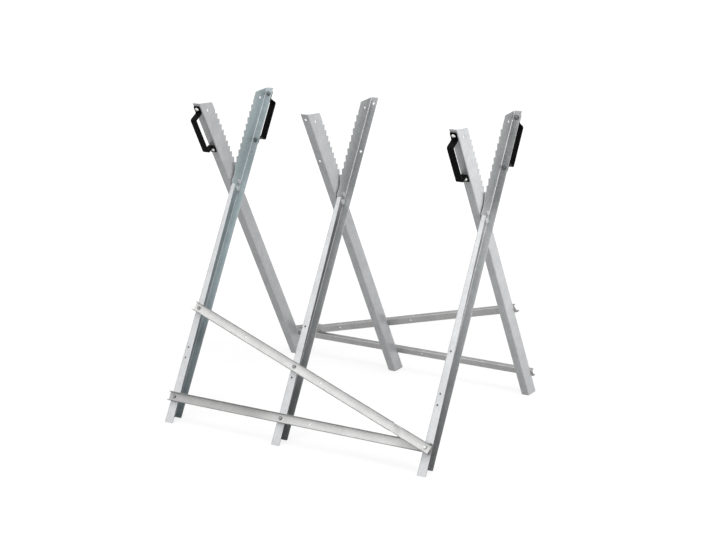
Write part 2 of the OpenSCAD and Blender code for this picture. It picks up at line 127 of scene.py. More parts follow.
@dataclass(frozen=True)
class Stance:
    """Sizes that place things on the trestles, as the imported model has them."""

    leg_below: float = 0.6595
    leg_above: float = 0.2795
    lean: float = 30.0
    left_x: float = -0.369
    middle_x: float = -0.043
    right_x: float = 0.369
    leg_width: float = 0.040
    leg_sheet: float = 0.0015
    flange_width: float = 0.021
    web_gap: float = 0.004
    brace_low: float = 0.058
    brace_high: float = 0.299
    brace_hole_in: float = 0.009
    brace_sheet: float = 0.0015
    brace_lift: float = 0.00905
    strap_width: float = 0.018
    strap: float = 0.003
    handle_drop: float = 0.085
    screw_reach: float = 0.067
    pivot_offset: float = 0.010
    stop_arm: float = 0.020
    stop_turn: float = 8.0
    running_gap: float = 0.0001
    washer: float = 0.0012

    @property
    def crossing_height(self) -> float:
        """Height of the point where the legs' centre lines cross."""
        return self.leg_below * math.cos(math.radians(self.lean))

    @property
    def trestles(self) -> dict[Place, float]:
        """The three trestles' places along X."""
        return dict(zip(Place, (self.left_x, self.middle_x, self.right_x)))

    @property
    def head_seat(self) -> float:
        """Where the pivot and stop bolts' heads sit, from the middle between the webs."""
        return self.web_gap / 2 + self.leg_sheet

    @property
    def nut_seat(self) -> float:
        """Where the pivot and stop bolts' nuts sit, from the middle between the webs."""
        return self.head_seat + self.running_gap + self.washer

    def leg(self, side: Side, x: float) -> Matrix:
        """Gives the matrix from a leg's directions: X across its channel and Z up the leg."""
        place = Matrix.Translation((side.sign * x, 0, self.crossing_height))
        return side.turn @ place @ Matrix.Rotation(-math.radians(self.lean), 4, "X")

    def pivot(self, x: float) -> Matrix:
        """Gives a pivot's directions, with Z along its bolt towards the head.

        Args:
            x: the trestle's place.

        Returns:
            The matrix from the pivot's directions, with its origin between the webs.
        """
        along = -self.pivot_offset / math.tan(math.radians(self.lean))
        place = Matrix.Translation((0, self.pivot_offset, along))
        return self.leg(Side.FRONT, x) @ place @ Matrix.Rotation(QUARTER_TURN, 4, "Y")

    def stop(self, x: float) -> Matrix:
        """Gives a stop bolt's directions.

        Args:
            x: the trestle's place.

        Returns:
            The matrix from the bolt's directions, as for a pivot.
        """
        turn = math.radians(self.stop_turn)
        arm = (-self.stop_arm * math.cos(turn), -self.stop_arm * math.sin(turn), 0)
        return self.pivot(x) @ Matrix.Translation(arm)

    def brace_hole(self, side: Side, first: float, share: float) -> Matrix:
        """Gives the directions at a brace's hole, with Z out of the leg's flange.

        Args:
            side: the side on which the brace lies.
            first: the trestle's place, seen with that side in front.
            share: how far down the brace the hole lies, from its high end at 0 to its low end at 1.

        Returns:
            The matrix from the hole's directions, with its origin on the flange.
        """
        along = self.brace_high - share * (self.brace_high - self.brace_low) - self.leg_below
        x = first + self.web_gap / 2 + self.brace_hole_in
        place = Matrix.Translation((x, -self.leg_width / 2, along))
        out = Matrix.Rotation(QUARTER_TURN, 4, "X")
        return side.turn @ self.leg(Side.FRONT, 0) @ place @ out

    def brace_holes(self, side: Side) -> tuple[list[Matrix], Matrix]:
        """Gives the directions at all bolted holes of one side.

        Args:
            side: the side on which the braces lie.

        Returns:
            The holes that hold one brace, and the hole that holds both.
        """
        middle = side.sign * self.middle_x
        middle_share = (middle - self.left_x) / (self.right_x - self.left_x)
        spots = ((self.left_x, 0.0), (middle, middle_share), (self.left_x, 1.0), (middle, 1.0))
        single = [self.brace_hole(side, *spot) for spot in spots]
        return single, self.brace_hole(side, self.right_x, 1.0)

    def handle_screws(self, side: Side) -> list[Matrix]:
        """Gives the directions at the handle screws' holes, with Z out of the flange.

        Args:
            side: the side on which the feet of the handles' legs stand.

        Returns:
            One matrix for each screw.
        """
        across = self.web_gap / 2 + self.flange_width - self.strap_width / 2
        middle = self.leg_above - self.handle_drop
        return [
            self.leg(side, x)
            @ Matrix.Translation((across, self.leg_width / 2, middle + way * self.screw_reach))
            @ Matrix.Rotation(-QUARTER_TURN, 4, "X")
            for x in (self.left_x, self.right_x)
            for way in (-1, 1)
        ]


def for_heads(places: Iterable[Matrix], seat: float) -> list[Matrix]:
    """Moves places along their own Z to the seat of the bolts' heads."""
    return [place @ Matrix.Translation((0, 0, seat)) for place in places]


def for_nuts(places: Iterable[Matrix], seat: float) -> list[Matrix]:
    """Moves places against their own Z to the seat of the nuts, and turns them over."""
    over = Matrix.Rotation(HALF_TURN, 4, "X")
    return [place @ Matrix.Translation((0, 0, -seat)) @ over for place in places]


# ---- Finishes ----


def grey(tone: float) -> RGB:
    """Gives a grey."""
    return (tone, tone, tone)


@dataclass(frozen=True)
class Waves:
    """Random waves: how many in a metre, how many finer ones, and how strong those are."""

    scale: float
    detail: float = 2.0
    rough: float = 0.5


class Graph:
    """Node tree of a material or of the world, with short ways to add its nodes."""

    full: ClassVar[Span] = (0.0, 1.0)
    usual: ClassVar[Span] = (0.3, 0.7)

    def __init__(self, owner: bpy.types.ID) -> None:
        """Takes over a new material's or world's node tree, and empties it.

        Args:
            owner: the material or the world.
        """
        owner.use_nodes = True
        self.owner = owner
        self.tree = owner.node_tree
        self.tree.nodes.clear()

    def add(
        self, kind: str, inputs: dict[str | int, object] | None = None, **settings: object
    ) -> bpy.types.Node:
        """Adds a node.

        Args:
            kind: the node's type, without the word ShaderNode in front.
            inputs: a socket to link or a value to set for each input, by its name or number.
            settings: values of the node's properties.

        Returns:
            The new node.
        """
        node = self.tree.nodes.new(f"ShaderNode{kind}")
        for key, value in settings.items():
            setattr(node, key, value)
        for key, value in (inputs or {}).items():
            if isinstance(value, Socket):
                self.tree.links.new(value, node.inputs[key])
            else:
                node.inputs[key].default_value = value
        return node

    def math(self, operation: str, first: Socket, second: Socket) -> Socket:
        """Gives the result of one sum on two sockets."""
        return self.add("Math", {0: first, 1: second}, operation=operation).outputs["Value"]

    def total(self, *parts: tuple[Socket, float]) -> Socket:
        """Adds values.

        Args:
            parts: each value's socket with its weight.

        Returns:
            The sum's socket.
        """
        so_far: object = 0.0
        for value, weight in parts:
            node = self.add("Math", {0: value, 1: weight, 2: so_far}, operation="MULTIPLY_ADD")
            so_far = node.outputs["Value"]
        return so_far

    def spread(self, value: Socket, source: Span = usual, target: Span = full) -> Socket:
        """Maps a value from one range to another, held at the ends."""
        ends = zip(("From Min", "From Max", "To Min", "To Max"), (*source, *target))
        return self.add("MapRange", {"Value": value, **dict(ends)}).outputs["Result"]

    def seen_share(self) -> Socket:
        """Gives 1 where the camera looks, also through glass or by a reflection, and 0 for light.

        Returns:
            The value's socket.
        """
        path = self.add("LightPath").outputs
        share = path["Is Camera Ray"]
        for name in ("Is Glossy Ray", "Is Transmission Ray"):
            share = self.math("MAXIMUM", share, path[name])
        return share


class Surface(Graph):
    """Node tree of one material."""

    def __init__(self, name: str) -> None:
        """Makes a material, with a socket that gives the place on its object in metres."""
        super().__init__(bpy.data.materials.new(name))
        self.place = self.add("TexCoord").outputs["Object"]

    def mapped(self, turn: float, stretch: Iterable[float]) -> Socket:
        """Gives the place turned about X and then stretched along each axis.

        Args:
            turn: the turn about X.
            stretch: the factor along each axis.

        Returns:
            The new place's socket.
        """
        rotation = (math.radians(turn), 0, 0)
        turning = self.add("Mapping", {"Vector": self.place, "Rotation": rotation})
        stretching = {"Vector": turning.outputs["Vector"], "Scale": tuple(stretch)}
        return self.add("Mapping", stretching).outputs["Vector"]

    def noise(self, waves: Waves, place: Socket | None = None) -> Socket:
        """Gives a soft random value from 0 to 1, over the object or over another place."""
        sizes = {"Scale": waves.scale, "Detail": waves.detail, "Roughness": waves.rough}
        return self.add("TexNoise", {"Vector": place or self.place, **sizes}).outputs["Fac"]

    def crystals(self, place: Socket, size: float) -> Socket:
        """Gives a value that differs from crystal to crystal."""
        cells = self.add("TexVoronoi", {"Vector": place, "Scale": 1 / size}, feature="F1")
        return self.add("SeparateColor", {"Color": cells.outputs["Color"]}).outputs["Red"]

    def blend(self, share: Socket, first: RGB | Socket, second: RGB) -> Socket:
        """Blends a colour or its socket with a second colour, by the second one's share."""
        first = first if isinstance(first, Socket) else (*first, 1.0)
        return self.add("Mix", {0: share, 6: first, 7: (*second, 1.0)}, data_type="RGBA").outputs[2]

    def finish(
        self, colour: Socket, roughness: Socket, height: Socket, relief: Span, **own: float
    ) -> bpy.types.Material:
        """Puts the shader together.

        Args:
            colour: the base colour.
            roughness: the roughness.
            height: the relief's height, from 0 to 1.
            relief: the relief's full depth, and how much of it shows.
            own: values that are the same all over, by their sockets' names with _ for a space.

        Returns:
            The material.
        """
        sizes = dict(zip(("Distance", "Strength"), relief))
        bump = self.add("Bump", {"Height": height, **sizes})
        links = {"Base Color": colour, "Roughness": roughness, "Normal": bump.outputs["Normal"]}
        plain = {name.replace("_", " "): value for name, value in own.items()}
        shader = self.add("BsdfPrincipled", {**links, **plain})
        self.add("OutputMaterial", {"Surface": shader.outputs["BSDF"]})
        return self.owner


@dataclass(frozen=True)
class Finish:
    """Finish of a surface."""

    name: str

    def painted(self, surface: Surface) -> bpy.types.Material:
        """Makes the finish's nodes on an empty surface."""
        raise NotImplementedError(self.name)


@cache
def material_of(finish: Finish) -> bpy.types.Material:
    """Gives a finish's material, which is made when it is first needed."""
    return finish.painted(Surface(finish.name))


@dataclass(frozen=True)
class ZincSheet(Finish):
    """Zinc-coated sheet: crystals, clouds, fine mill lines, scuffs and orange peel.

    The coat can be darkened below the foot heights and above the shoulder heights, or along
    another axis, by the two end shade tones; this darkening is painted shade.
    """

    grain: Grain
    dark: RGB = (0.49, 0.50, 0.51)
    light: RGB = (0.69, 0.70, 0.71)
    scuff: RGB = (0.78, 0.79, 0.80)
    crystal: float = 0.0065
    metallic: float = 0.24
    roughness: Span = (0.28, 0.44)
    gloss: float = 0.35
    # Painted shade: how dark the coat gets at its two ends; 1 leaves it as it is.
    end_shade_tones: Span = (1.0, 1.0)
    foot_heights: Span = (0.0, 0.34)
    shoulder_heights: Span = (0.50, 0.60)
    axis: str = "Z"
    lean: float = Stance.lean
    warp: Triple = (0.006, 0.006, 0.006)
    feathers: float = 3.0
    ripple: Waves = Waves(90)
    cloud: Waves = Waves(26, 3, 0.55)
    mill: Waves = Waves(1, 3, 0.6)
    mill_along: float = 1.5
    mill_across: float = 260.0
    scratch: Waves = Waves(1, 1)
    scratch_turn: float = 7.0
    scratch_finer: float = 3.4
    worn_patch: Waves = Waves(14)
    peel: Waves = Waves(1400)
    relief: Span = (0.00012, 0.35)

    def shaded_towards_ends(self, surface: Surface, coat: Socket) -> Socket:
        """Darkens the coat towards both ends: painted shade.

        Args:
            surface: the material's nodes.
            coat: the coat's colour.

        Returns:
            The shaded colour's socket.
        """
        foot_shade_tone, top_shade_tone = self.end_shade_tones
        height = surface.add("SeparateXYZ", {0: surface.place}).outputs[self.axis]
        foot = surface.spread(height, self.foot_heights, (foot_shade_tone, 1.0))
        top = surface.spread(height, self.shoulder_heights, (1.0, top_shade_tone))
        share = surface.spread(surface.math("MULTIPLY", foot, top), surface.full, (1.0, 0.0))
        return surface.blend(share, coat, BLACK)

    def painted(self, surface: Surface) -> bpy.types.Material:
        """Makes the material's nodes.

        Args:
            surface: the empty surface.

        Returns:
            The material.
        """
        turn = self.grain.value * self.lean
        along, across = self.mill_along, self.mill_across
        lines = (along, across, across) if self.grain is Grain.ALONG_X else (across, across, along)
        rippled = {0: surface.noise(self.ripple), 1: self.warp, 2: surface.place}
        warped = surface.add("VectorMath", rippled, operation="MULTIPLY_ADD").outputs["Vector"]
        crystal = surface.crystals(warped, self.crystal)
        feather = surface.crystals(warped, self.crystal / self.feathers)
        cloud = surface.spread(surface.noise(self.cloud))
        mill = surface.noise(self.mill, surface.mapped(turn, lines))
        tone = surface.total(
            (crystal, 0.30), (feather, 0.10), (cloud, 0.42), (surface.spread(mill), 0.18)
        )
        finer = surface.mapped(turn + self.scratch_turn, (self.scratch_finer * n for n in lines))
        worn = surface.math(
            "MULTIPLY",
            surface.spread(surface.noise(self.scratch, finer), (0.69, 0.75)),
            surface.spread(surface.noise(self.worn_patch), (0.50, 0.62), (0.0, 0.55)),
        )
        coat = surface.blend(tone, self.dark, self.light)
        # Painted shade: the coat darkens towards its ends.
        if min(self.end_shade_tones) < 1.0:
            coat = self.shaded_towards_ends(surface, coat)
        rough = surface.total((crystal, 0.5), (mill, 0.5))
        return surface.finish(
            surface.blend(worn, coat, self.scuff),
            surface.spread(rough, (0.2, 0.8), self.roughness),
            surface.total((crystal, 0.35), (surface.noise(self.peel), 0.4), (mill, 0.25)),
            self.relief,
            Metallic=self.metallic,
            Specular_IOR_Level=self.gloss,
        )


@dataclass(frozen=True)
class ShearedEdge(Finish):
    """Cut edge of the sheet: a bright burnished band, a torn band and zinc that creeps over it."""

    bright: RGB = (0.74, 0.75, 0.75)
    torn: RGB = (0.50, 0.50, 0.49)
    metallic: float = 0.75
    roughness: Span = (0.32, 0.6)
    nibble: Waves = Waves(900, 3, 0.6)
    patch: Waves = Waves(70)
    strong: Span = (0.35, 0.65)
    relief: Span = (0.0001, 0.5)

    def painted(self, surface: Surface) -> bpy.types.Material:
        """Makes the material's nodes.

        Args:
            surface: the empty surface.

        Returns:
            The material.
        """
        nibble = surface.noise(self.nibble)
        fine = surface.spread(nibble, self.strong)
        patch = surface.spread(surface.noise(self.patch), self.strong)
        colour = surface.blend(surface.total((fine, 0.6), (patch, 0.4)), self.bright, self.torn)
        roughness = surface.spread(nibble, target=self.roughness)
        return surface.finish(colour, roughness, nibble, self.relief, Metallic=self.metallic)


@dataclass(frozen=True)
class BlackCoat(Finish):
    """Black powder coat on the strap handles: orange peel, faint dust and rubbed spots."""

    coat: RGB = (0.004, 0.004, 0.0045)
    dust: RGB = (0.009, 0.009, 0.0095)
    rubbed: RGB = (0.025, 0.025, 0.027)
    roughness: Span = (0.30, 0.46)
    gloss: float = 0.03
    cloud: Waves = Waves(55, 3, 0.6)
    rub: Waves = Waves(1)
    rub_turn: float = 20.0
    rub_lines: Triple = (120, 500, 90)
    peel: Waves = Waves(750, 2, 0.55)
    relief: Span = (0.0002, 0.45)

    def painted(self, surface: Surface) -> bpy.types.Material:
        """Makes the material's nodes.

        Args:
            surface: the empty surface.

        Returns:
            The material.
        """
        cloud = surface.noise(self.cloud)
        rub = surface.noise(self.rub, surface.mapped(self.rub_turn, self.rub_lines))
        dusty = surface.spread(cloud, (0.45, 0.75), (0.0, 0.7))
        base = surface.blend(dusty, self.coat, self.dust)
        rubbed = surface.spread(rub, (0.66, 0.74), (0.0, 0.6))
        return surface.finish(
            surface.blend(rubbed, base, self.rubbed),
            surface.spread(cloud, target=self.roughness),
            surface.noise(self.peel),
            self.relief,
            Specular_IOR_Level=self.gloss,
        )


@dataclass(frozen=True)
class PatchyCoat(Finish):
    """Coat with dull patches and fine specks: zinc plate, or the nylon of a lock ring."""

    bright: RGB
    dull: RGB
    roughness: Span
    metallic: float = 0.9
    patch: Waves = Waves(250, 3, 0.6)
    patch_span: Span = (0.35, 0.7)
    speck: Waves = Waves(2200)
    relief: Span = (0.00006, 0.4)

    def painted(self, surface: Surface) -> bpy.types.Material:
        """Makes the material's nodes.

        Args:
            surface: the empty surface.

        Returns:
            The material.
        """
        patch = surface.noise(self.patch)
        colour = surface.blend(surface.spread(patch, self.patch_span), self.bright, self.dull)
        roughness = surface.spread(patch, target=self.roughness)
        height = surface.noise(self.speck)
        return surface.finish(colour, roughness, height, self.relief, Metallic=self.metallic)


@dataclass(frozen=True)
class ChannelShadeTones:
    """Painted shade and painted reflection inside the channel of a front leg.

    The sheet mirrors what stands round it. The tones differ from trestle to trestle with the
    light that each one gets; top and web are the painted shade at the top and on the web.
    """

    dark: RGB
    light: RGB
    top: float
    web: Span


@dataclass(frozen=True)
class Finishes:
    """All finishes of the sawhorse."""

    # Painted highlight: the bends inside the legs' channels are lighter than the sheet, with
    # painted shade towards the foot.
    bend: Finish = ZincSheet(
        "bend_painted_highlight",
        Grain.FRONT_LEG,
        (0.60, 0.61, 0.62),
        (0.74, 0.75, 0.76),
        end_shade_tones=(0.55, 1.0),
    )
    edge: Finish = ShearedEdge("sheared_edge")
    # Darker cut edges of the legs' flange lips and the braces: partly bare steel, partly painted
    # shade.
    bare_and_shaded_edge: Finish = ShearedEdge("sheared_edge_bare_and_shaded", grey(0.30), grey(0.17), metallic=0.3)
    # Painted shade: the braces' flanges are painted dark grey, as they look in shade.
    brace_flange: Finish = ZincSheet(
        "zinc_brace_flanges_painted_shade", Grain.ALONG_X, grey(0.28), grey(0.40), metallic=0.1, gloss=0.1
    )
    handle: Finish = BlackCoat("black_powder_coat")
    nylon: Finish = PatchyCoat(
        "nylon_ring",
        (0.50, 0.52, 0.54),
        (0.36, 0.37, 0.38),
        roughness=(0.42, 0.6),
        metallic=0.0,
        patch=Waves(500, 3),
        patch_span=(0.0, 1.0),
        speck=Waves(1800),
        relief=(0.00008, 0.4),
    )
    screw: Finish = PatchyCoat(
        "bright_screws", (0.80, 0.80, 0.78), (0.62, 0.62, 0.60), (0.20, 0.34)
    )
    fastener: Finish = PatchyCoat(
        "zinc_fasteners", (0.58, 0.59, 0.60), (0.38, 0.39, 0.39), (0.24, 0.40)
    )
    crossing: Finish = PatchyCoat(
        "pale_zinc_crossings", (0.84, 0.85, 0.86), (0.50, 0.51, 0.52), (0.24, 0.40), 0.35
    )
    # Darker zinc on the short brace bolts, the brace and handle nuts and the handle screws' shanks:
    # partly their own tone, partly painted shade.
    dull_fastener: Finish = PatchyCoat(
        "dark_shaded_fasteners", (0.24, 0.25, 0.25), (0.15, 0.155, 0.16), (0.32, 0.48)
    )
    # Painted shade: the legs darken towards the foot, and the webs' painted shade fades between the
    # channel heights.
    foot_shade_tone: float = 0.55
    channel_heights: Span = (0.50, 0.58)
    # Painted shade and painted reflection inside the front legs' channels, one copy for each
    # trestle, lighter where more light reaches.
    channel_shade_tones: ClassVar[dict[Place, ChannelShadeTones]] = {
        Place.LEFT: ChannelShadeTones((0.48, 0.57, 0.60), (0.69, 0.79, 0.815), 0.60, (0.52, 0.74)),
        Place.MIDDLE: ChannelShadeTones((0.45, 0.47, 0.475), (0.65, 0.67, 0.675), 0.53, (0.31, 0.72)),
        Place.RIGHT: ChannelShadeTones((0.51, 0.53, 0.535), (0.75, 0.77, 0.775), 0.40, (0.35, 0.49)),
    }
    # Brace tones stand in for the light each brace gets: lit and shaded copies of one zinc, with
    # painted shade towards the left where the third tone is below 1.
    usual_brace: Triple = (0.53, 0.73, 1.0)
    brace_tones: ClassVar[dict[tuple[Side, Brace], Triple]] = {
        (Side.FRONT, Brace.LOWER): (0.53, 0.73, 0.68),
        (Side.FRONT, Brace.DIAGONAL): (0.58, 0.80, 1.0),
    }
    # Painted shade towards the left is full at the first place along X and fades out by the second.
    duller_left: Span = (-0.10, 0.0)
    warmth: float = 0.99

    def leg(self, side: Side, place: Place) -> tuple[Finish, ...]:
        """Gives a leg's finishes, with painted shade and a painted highlight inside its channel.

        The rear legs' insides are alike, in the middle's tones.

        Args:
            side: the side on which the leg's foot stands.
            place: its trestle.

        Returns:
            The finishes in the order of its skins.
        """
        grain, front = Grain[f"{side.name}_LEG"], side is Side.FRONT
        tones = self.channel_shade_tones[place if front else Place.MIDDLE]
        start = f"zinc_inside_{side.value}" + (f"_{place.value}" if front else "")
        ends = (self.foot_shade_tone, tones.top)
        outside = ZincSheet(f"zinc_{side.value}_legs", grain)
        inside = ZincSheet(f"{start}_leg", grain, tones.dark, tones.light, end_shade_tones=ends)
        # The web inside the channel gets its own painted shade, darker below and above the
        # crossing.
        web = replace(
            inside, name=f"{start}_web", end_shade_tones=tones.web, foot_heights=self.channel_heights
        )
        return outside, self.edge, inside, self.bend, self.bare_and_shaded_edge, web if front else inside

    def brace(self, side: Side, kind: Brace) -> tuple[Finish, ...]:
        """Gives a brace's finishes. Its outer face can carry painted shade towards the left.

        Args:
            side: the side on which it lies.
            kind: which of the two braces it is.

        Returns:
            The finishes in the order of its skins.
        """
        dark, light, left_shade_tone = self.brace_tones.get((side, kind), self.usual_brace)
        outside = ZincSheet(
            f"zinc_{side.value}_{kind.value}_brace",
            Grain.ALONG_X,
            (dark, dark, dark * self.warmth),
            (light, light, light * self.warmth),
            end_shade_tones=(left_shade_tone, 1.0),
            foot_heights=self.duller_left,
            axis="X",
        )
        return outside, self.bare_and_shaded_edge, self.brace_flange


# ---- Modelling, as by hand ----


def select_only(*pieces: Piece) -> None:
    """Selects these pieces and nothing else, and makes the first one active.

    Args:
        pieces: the pieces to select.
    """
    bpy.ops.object.select_all(action="DESELECT")
    for piece in pieces:
        piece.select_set(True)
    bpy.context.view_layer.objects.active = pieces[0]


def apply_modifier(piece: Piece, kind: str, **settings: object) -> None:
    """Adds a modifier to a piece and applies it.

    Args:
        piece: the piece to change.
        kind: Blender's name of the modifier's type.
        settings: the modifier's values.
    """
    select_only(piece)
    modifier = piece.modifiers.new(kind.lower(), kind)
    for key, value in settings.items():
        setattr(modifier, key, value)
    bpy.ops.object.modifier_apply(modifier=modifier.name)


def turned(rings: Rings, sides: int) -> Piece:
    """Makes a closed solid round the Z axis, ring by ring, by extrude and scale.

    Args:
        rings: radius and height of each ring, from one end to the other.
        sides: number of sides; 6 gives a hexagon with corners along Y.

    Returns:
        The new object.
    """
    radius, height = rings[0]
    bpy.ops.object.select_all(action="DESELECT")
    bpy.ops.mesh.primitive_circle_add(vertices=sides, radius=radius, fill_type="NGON")
    blank = bpy.context.object
    bpy.ops.object.mode_set(mode="EDIT")
    bpy.ops.mesh.select_all(action="SELECT")
    bpy.ops.transform.translate(value=(0, 0, height))
    for next_radius, next_height in rings[1:]:
        rise = {"value": (0, 0, next_height - height)}
        bpy.ops.mesh.extrude_region_move(TRANSFORM_OT_translate=rise)
        growth = next_radius / radius
        bpy.ops.transform.resize(value=(growth, growth, 1), center_override=(0, 0, next_height))
        radius, height = next_radius, next_height
    bpy.ops.mesh.select_all(action="SELECT")
    bpy.ops.mesh.normals_make_consistent(inside=False)
    bpy.ops.object.mode_set(mode="OBJECT")
    return blank


def combine(piece: Piece, cut: Cut, rings: Rings, sides: int) -> Piece:
    """Changes a piece by a boolean with a turned tool, which is then removed.

    Args:
        piece: the piece to change.
        cut: what the boolean keeps.
        rings: the tool's rings.
        sides: the tool's number of sides.

    Returns:
        The same piece.
    """
    tool = turned(rings, sides)
    apply_modifier(piece, "BOOLEAN", object=tool, operation=cut.value, solver="EXACT")
    bpy.data.objects.remove(tool)
    return piece


def smooth(piece: Piece, angle: float) -> None:
    """Shades a piece smooth, but keeps its sharp edges and its large faces flat.

    Args:
        piece: the piece to shade.
        angle: the largest turn between two faces that still looks round.
    """
    face_weight = 80
    select_only(piece)
    bpy.ops.object.shade_smooth_by_angle(angle=math.radians(angle))
    apply_modifier(piece, "WEIGHTED_NORMAL", keep_sharp=True, weight=face_weight)


def dress(piece: Piece, *finishes: Finish) -> None:
    """Gives a piece its finishes in place of the materials that it has.

    Args:
        piece: the piece to dress.
        finishes: one finish for each of its slots.
    """
    piece.data.materials.clear()
    for finish in finishes:
        piece.data.materials.append(material_of(finish))


def softened_copy(node: str, name: str, edge: float, segments: int) -> Piece:
    """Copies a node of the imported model, merges its faces and rounds its sharp edges a little.

    Args:
        node: the node's name.
        name: the new piece's name.
        edge: the width of the rounded edges.
        segments: the number of faces across a rounded edge.

    Returns:
        The new piece, which stands where the node stands.
    """
    same_point, flat_angle, bend_angle, sharp_angle = 2e-6, 0.6, 32.0, 50.0
    piece = bpy.data.objects.new(name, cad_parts[node].data.copy())
    piece.data.name = name
    bpy.context.scene.collection.objects.link(piece)
    select_only(piece)
    bpy.ops.object.mode_set(mode="EDIT")
    bpy.ops.mesh.select_all(action="SELECT")
    bpy.ops.mesh.customdata_custom_splitnormals_clear()
    bpy.ops.mesh.remove_doubles(threshold=same_point)
    bpy.ops.mesh.faces_shade_flat()
    bpy.ops.mesh.mark_sharp(clear=True)
    bpy.ops.mesh.dissolve_limited(angle_limit=math.radians(flat_angle))
    bpy.ops.object.mode_set(mode="OBJECT")
    apply_modifier(
        piece,
        "BEVEL",
        width=edge,
        segments=segments,
        limit_method="ANGLE",
        angle_limit=math.radians(sharp_angle),
        use_clamp_overlap=True,
    )
    smooth(piece, bend_angle)
    return piece


def hand_over(piece: Piece, body: str, node: str, slot: str) -> Piece:
    """Says what a finished piece belongs to.

    Args:
        piece: the piece.
        body: the body that it rides on.
        node: the node that it stands for.
        slot: a material slot's name; not used.

    Returns:
        The piece.
    """
    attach(piece, body)
    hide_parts(node)
    return piece


# ---- Sheet pieces ----


class Skin(IntEnum):
    """The kinds of surface of a sheet piece, in the order of its finishes."""

    OUTSIDE = 0
    SHEARED = 1
    INSIDE = 2
    BEND = 3
    LIP = 4
    WEB = 5


@dataclass(frozen=True)
class SheetPlan:
    """What one sheet piece is made of: its node, body and finishes, and its own directions."""

    node: str
    body: str
    finishes: tuple[Finish, ...]
    own: Matrix = Matrix.Identity(4).freeze()


@dataclass
class SheetPieces:
    """Pieces that keep their nodes' shapes, with softened edges and finishes."""

    stance: Stance
    finishes: Finishes
    edge: float = 0.0
    segments: int = 2
    square: ClassVar[float] = 0.95
    ending: ClassVar[str]
    slot: ClassVar[str]

    def plans(self) -> Iterator[SheetPlan]:
        """Plans each piece."""
        raise NotImplementedError(self.ending)

    def skin(self, centre: Vector, normal: Vector) -> Skin:
        """Gives the kind of surface of a face, which is one for all here."""
        return Skin.OUTSIDE

    def build(self) -> list[Piece]:
        """Makes the pieces and gives each face the finish of its kind of surface.

        Returns:
            The pieces.
        """
        made = []
        for plan in self.plans():
            name = f"{plan.node}_{self.ending}"
            piece = softened_copy(plan.node, name, self.edge, self.segments)
            dress(piece, *plan.finishes)
            to_own = plan.own.inverted()
            turn = to_own.to_3x3()
            for face in piece.data.polygons:
                face.material_index = self.skin(to_own @ face.center, turn @ face.normal)
            made.append(hand_over(piece, plan.body, plan.node, self.slot))
        return made


@dataclass
class PressedLegs(SheetPieces):
    """The six pressed legs, with flanges, toothed plates and slots."""

    edge: float = 0.00028
    ending: ClassVar[str] = "pressing"
    slot: ClassVar[str] = "galvanised_legs"
    level: ClassVar[float] = 0.05
    facing: ClassVar[float] = 0.12
    bend: ClassVar[float] = 0.0035
    bend_inside: ClassVar[float] = 0.002
    past_web: ClassVar[float] = 0.003
    past_flange: ClassVar[float] = 0.0003

    def is_cut(self, centre: Vector, normal: Vector) -> bool:
        """Says whether a face is a sheared edge, in a leg's own directions.

        Args:
            centre: the middle of the face.
            normal: the face's normal.

        Returns:
            True at the ends, teeth, holes and the free edges of the flanges.
        """
        if abs(normal.z) > self.level:
            return True
        if abs(normal.x) > self.square:
            return centre.x > self.stance.web_gap / 2 + self.past_web
        across, reach = abs(centre.y), self.stance.leg_width / 2
        between = reach - self.bend_inside <= across <= reach + self.past_flange
        return abs(normal.y) > self.square and not between

    def skin(self, centre: Vector, normal: Vector) -> Skin:
        """Gives the kind of surface of a face, in a leg's own directions.

        Args:
            centre: the middle of the face.
            normal: the face's normal.

        Returns:
            The kind of surface.
        """
        if self.is_cut(centre, normal):
            # Lips take the darker edge finish, which is partly painted shade.
            is_lip = abs(normal.x) > self.square and centre.y < 0
            return Skin.LIP if is_lip else Skin.SHEARED
        from_web, to_middle = normal.x, -normal.y * math.copysign(1, centre.y)
        # Bends take the finish with the painted highlight, and webs and insides the painted shade.
        in_corner = abs(centre.y) > self.stance.leg_width / 2 - self.bend
        if in_corner and min(from_web, to_middle) > self.facing:
            return Skin.BEND
        if from_web > self.facing and from_web > to_middle:
            return Skin.WEB
        return Skin.INSIDE if to_middle > self.facing else Skin.OUTSIDE

    def plans(self) -> Iterator[SheetPlan]:
        """Plans the six legs.

        Yields:
            Each leg's plan.
        """
        for side, (place, x) in product(Side, self.stance.trestles.items()):
            node, finishes = f"{side.value}_{place.value}_leg", self.finishes.leg(side, place)
            yield SheetPlan(node, side.body, finishes, self.stance.leg(side, x))


@dataclass
class ChannelBraces(SheetPieces):
    """The lower and the diagonal brace of each side."""

    edge: float = 0.00025
    ending: ClassVar[str] = "channel"
    slot: ClassVar[str] = "galvanised_braces"
    depth: ClassVar[float] = 0.009
    near: ClassVar[float] = 0.001
    towards_end: ClassVar[float] = 0.6
    outward: ClassVar[float] = 0.4

    def skin(self, centre: Vector, normal: Vector) -> Skin:
        """Gives the kind of surface of a face, in the directions of the leg's flange.

        Args:
            centre: the middle of the face, with Y out of the flange's face.
            normal: the face's normal.

        Returns:
            The kind of surface, with the brace's own flanges as the inside.
        """
        rims = (self.depth, self.depth + self.stance.brace_lift)
        on_rim = any(abs(-centre.y - rim) < self.near for rim in rims)
        if abs(normal.x) > self.towards_end or (on_rim and -normal.y > self.square):
            return Skin.SHEARED
        # The brace's flanges take the finish with painted shade.
        return Skin.INSIDE if abs(normal.y) < self.outward else Skin.OUTSIDE

    def plans(self) -> Iterator[SheetPlan]:
        """Plans the four braces.

        Yields:
            Each brace's plan.
        """
        flange = Matrix.Translation((0, -self.stance.leg_width / 2, 0))
        for side, kind in product(Side, Brace):
            node, finishes = f"{side.value}_{kind.value}_brace", self.finishes.brace(side, kind)
            own = side.turn @ self.stance.leg(Side.FRONT, 0) @ flange
            yield SheetPlan(node, side.body, finishes, own)


